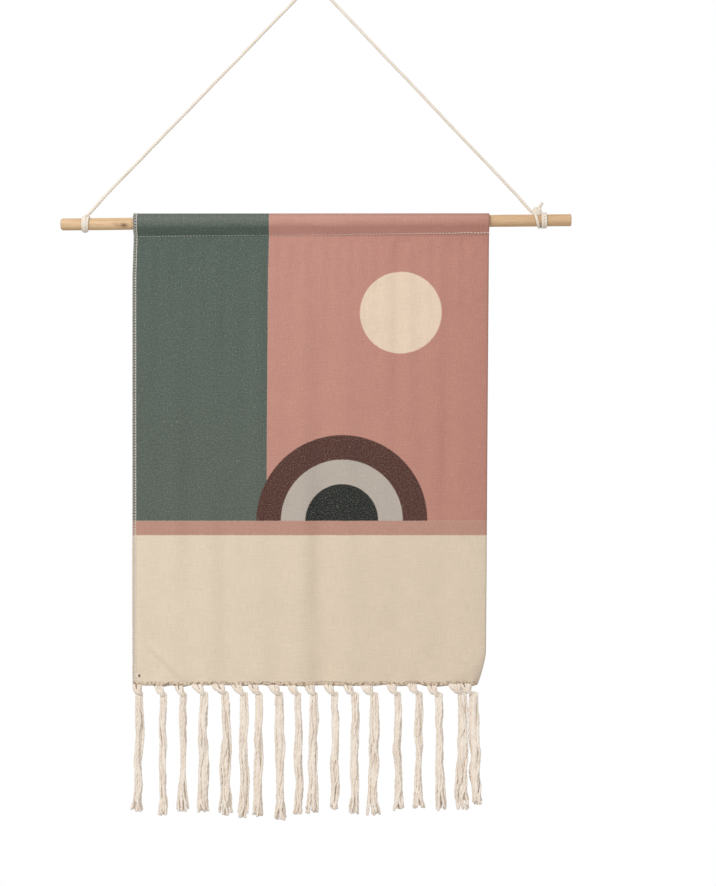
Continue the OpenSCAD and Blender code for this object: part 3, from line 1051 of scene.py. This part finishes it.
def build_tassel(i):
    source = random_source(100 + i)
    name = f"{i + 1:02d}"
    low, high = span("tassel_" + name)
    knot_low, knot_high = span("hem_knot_" + name)
    x = (knot_low[0] + knot_high[0]) / 2
    lean, full = LEAN[i] * MM, FULL[i]
    neck_z = knot_low[2] - 2.2 * MM
    bottom = low[2]
    half = 4.1 * MM * full
    at_hem = on_cloth(np.array([x - CLOTH_LEFT - lean * 0.5]), np.array([v_line[-1]]))[0]
    s = np.linspace(0, 1, 64)
    drop = neck_z - bottom
    body_x = x + lean * 0.5 + DRIFT[i] * MM * s + wobble(source, s * math.pi, 0.45 * MM)
    body_y = at_hem[1] * (1 - s) ** 2 + wobble(source, s * math.pi, 0.4 * MM)
    made = Mesh()
    twist = source.uniform(-0.8, 0.8) * math.pi
    locks = [source.uniform(0, 2 * math.pi) for _ in range(3)]
    for k in range(YARNS):
        lock = k % 3
        start_turn = k / YARNS * 2 * math.pi + source.normal(0, 0.15)
        ring = 0.34 if k >= 8 else 0.78
        frayed = np.clip((s - 0.72) / 0.28, 0, 1) ** 2
        swell = 1 + 0.16 * np.sin(s * math.pi * 2.2 + locks[lock]) + 0.5 * frayed
        swell = swell * (0.74 + 0.26 * np.minimum(1, s / 0.25))
        turn = start_turn + twist * s + wobble(source, s * math.pi, 0.5)
        stray = source.normal(0, 0.12) * np.clip((s - 0.5) / 0.5, 0, 1) ** 2 * 9 * MM
        end = drop - abs(source.normal(0, 2.2)) * MM
        px = body_x + ring * half * swell * np.cos(turn) + stray + wobble(source, s * math.pi, 0.25 * MM)
        py = body_y + ring * half * swell * np.sin(turn) * 0.85
        body = np.stack([px, py, neck_z - end * s], 1)
        # from a hole in the hem down into the neck
        side, out = math.cos(start_turn), math.sin(start_turn)
        hem_x, hem_y, hem_z = at_hem
        top_points = [
            [hem_x + side * 4.0 * MM * full, hem_y + out * 0.7 * MM, hem_z + 0.8 * MM],
            [hem_x + side * 3.6 * MM * full + 0.3 * lean, hem_y + out * 2.2 * MM, hem_z - 3.0 * MM],
            [hem_x + side * 2.0 * MM + 0.75 * lean, hem_y * 0.6 + out * 2.6 * MM, hem_z - 7.0 * MM],
        ]
        line = smooth_line(top_points + body.tolist(), 2.0 * MM)
        thick = 1.34 * MM * full**0.5 * source.uniform(0.9, 1.1)
        far = arc_of(line) / arc_of(line)[-1]
        spread = 1 + 0.45 * np.clip((far - 0.93) / 0.07, 0, 1) ** 2
        pitch, phase = source.uniform(11, 15) * MM, source.uniform(0, 6.28)
        made.twisted(line, 2, thick, pitch, 6, source.uniform(0, 0.8), phase, spread, 1.5)
    # shorter yarns fill the middle of the bunch
    core = np.stack([body_x, body_y + 0.3 * MM, neck_z - (drop - 9 * MM) * s], 1)
    fill = 0.62 * half * (0.74 + 0.26 * np.minimum(1, s / 0.25)) * np.minimum(1, 0.15 + s / 0.12)
    made.tube(core[1:], fill[1:], 8, 0.2)
    # the half hitch that closes the knot
    tilt = math.tan(math.radians(source.uniform(24, 38)))
    centre = np.array([at_hem[0] + lean * 0.55, at_hem[1] * 0.8, at_hem[2] - source.uniform(5.2, 6.2) * MM])
    for k in range(2):
        a = np.linspace(-0.6, 2 * math.pi - 1.2, 34) + source.uniform(-0.2, 0.2)
        rise = (k - 0.5) * 1.7 * MM
        grow = 1 + 0.12 * k + 0.04 * np.sin(2 * a)
        ex = 3.9 * MM * full**0.6 * grow * np.cos(a)
        ey = 3.5 * MM * full**0.4 * grow * np.sin(a)
        loop = np.stack([centre[0] + ex, centre[1] - ey, centre[2] + rise - ex * tilt], 1)
        loop = smooth_line(loop, 1.2 * MM)
        made.twisted(loop, 2, 1.1 * MM, 9 * MM, 6, source.uniform(0, 0.8), k, None, 1.5)
    obj = made.build("yarn_tassel_" + name, tassel_cotton)
    swing_z = high[2] - (high[2] - neck_z) * 0.5
    swing_z + 2.5 * MM
    swing_z - 8 * MM
    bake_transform(obj)
    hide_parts("hem_knot_" + name, "tassel_" + name)
    return obj


for i in range(TASSEL_COUNT):
    build_tassel(i)


# ---- Floor, world and lights ----

AMBIENT = 0.5


def build_floor():
    """A plain pale floor well under the object, small enough to stay below the photograph's view."""
    size, z, cells = 1.5, -1.7, 24
    line = np.linspace(-size, size, cells + 1)
    x, y = np.meshgrid(line, line)
    points = np.stack([x, y, np.full_like(x, z)], -1).reshape(-1, 3)
    index = np.arange((cells + 1) ** 2).reshape(cells + 1, cells + 1)
    quads = np.stack([index[:-1, :-1], index[:-1, 1:], index[1:, 1:], index[1:, :-1]], -1).reshape(-1, 4)
    mesh = bpy.data.meshes.new("floor")
    mesh.from_pydata(points.tolist(), [], quads.tolist())
    g = Graph("floor_pale")
    place = g.add("ShaderNodeTexCoord").outputs["Object"]
    colour = g.mix(g.noise(place, 3.0, 3.0), linear(240, 239, 236), linear(234, 232, 228))
    mesh.materials.append(g.finish(colour, 0.9))
    obj = bpy.data.objects.new("floor", mesh)
    scene.collection.objects.link(obj)


build_floor()


def build_world():
    world = bpy.data.worlds.new("studio")
    world.use_nodes = True
    tree = world.node_tree
    tree.nodes.clear()
    out = tree.nodes.new("ShaderNodeOutputWorld")
    both = tree.nodes.new("ShaderNodeMixShader")
    path = tree.nodes.new("ShaderNodeLightPath")
    soft, seen = tree.nodes.new("ShaderNodeBackground"), tree.nodes.new("ShaderNodeBackground")
    soft.inputs["Color"].default_value = (1, 1, 1, 1)
    soft.inputs["Strength"].default_value = AMBIENT
    seen.inputs["Color"].default_value = (1, 1, 1, 1)
    seen.inputs["Strength"].default_value = 1.0
    tree.links.new(path.outputs["Is Camera Ray"], both.inputs[0])
    tree.links.new(soft.outputs[0], both.inputs[1])
    tree.links.new(seen.outputs[0], both.inputs[2])
    tree.links.new(both.outputs[0], out.inputs["Surface"])
    scene.world = world


def area_light(name, place, aim, size, power):
    data = bpy.data.lights.new(name, "AREA")
    data.shape = "RECTANGLE"
    data.size, data.size_y = size
    data.energy = power
    obj = bpy.data.objects.new(name, data)
    scene.collection.objects.link(obj)
    obj.location = place
    obj.rotation_euler = (Vector(aim) - Vector(place)).to_track_quat("-Z", "Y").to_euler()


build_world()
area_light("key", (-1.3, -2.2, 1.3), (0, 0, -0.45), (1.2, 1.2), 56.5)
area_light("fill", (1.8, -2.4, -0.2), (0, 0, -0.45), (1.6, 1.6), 12.8)
area_light("back", (0.4, 1.8, 0.6), (0, 0, -0.4), (1.6, 1.2), 9.2)
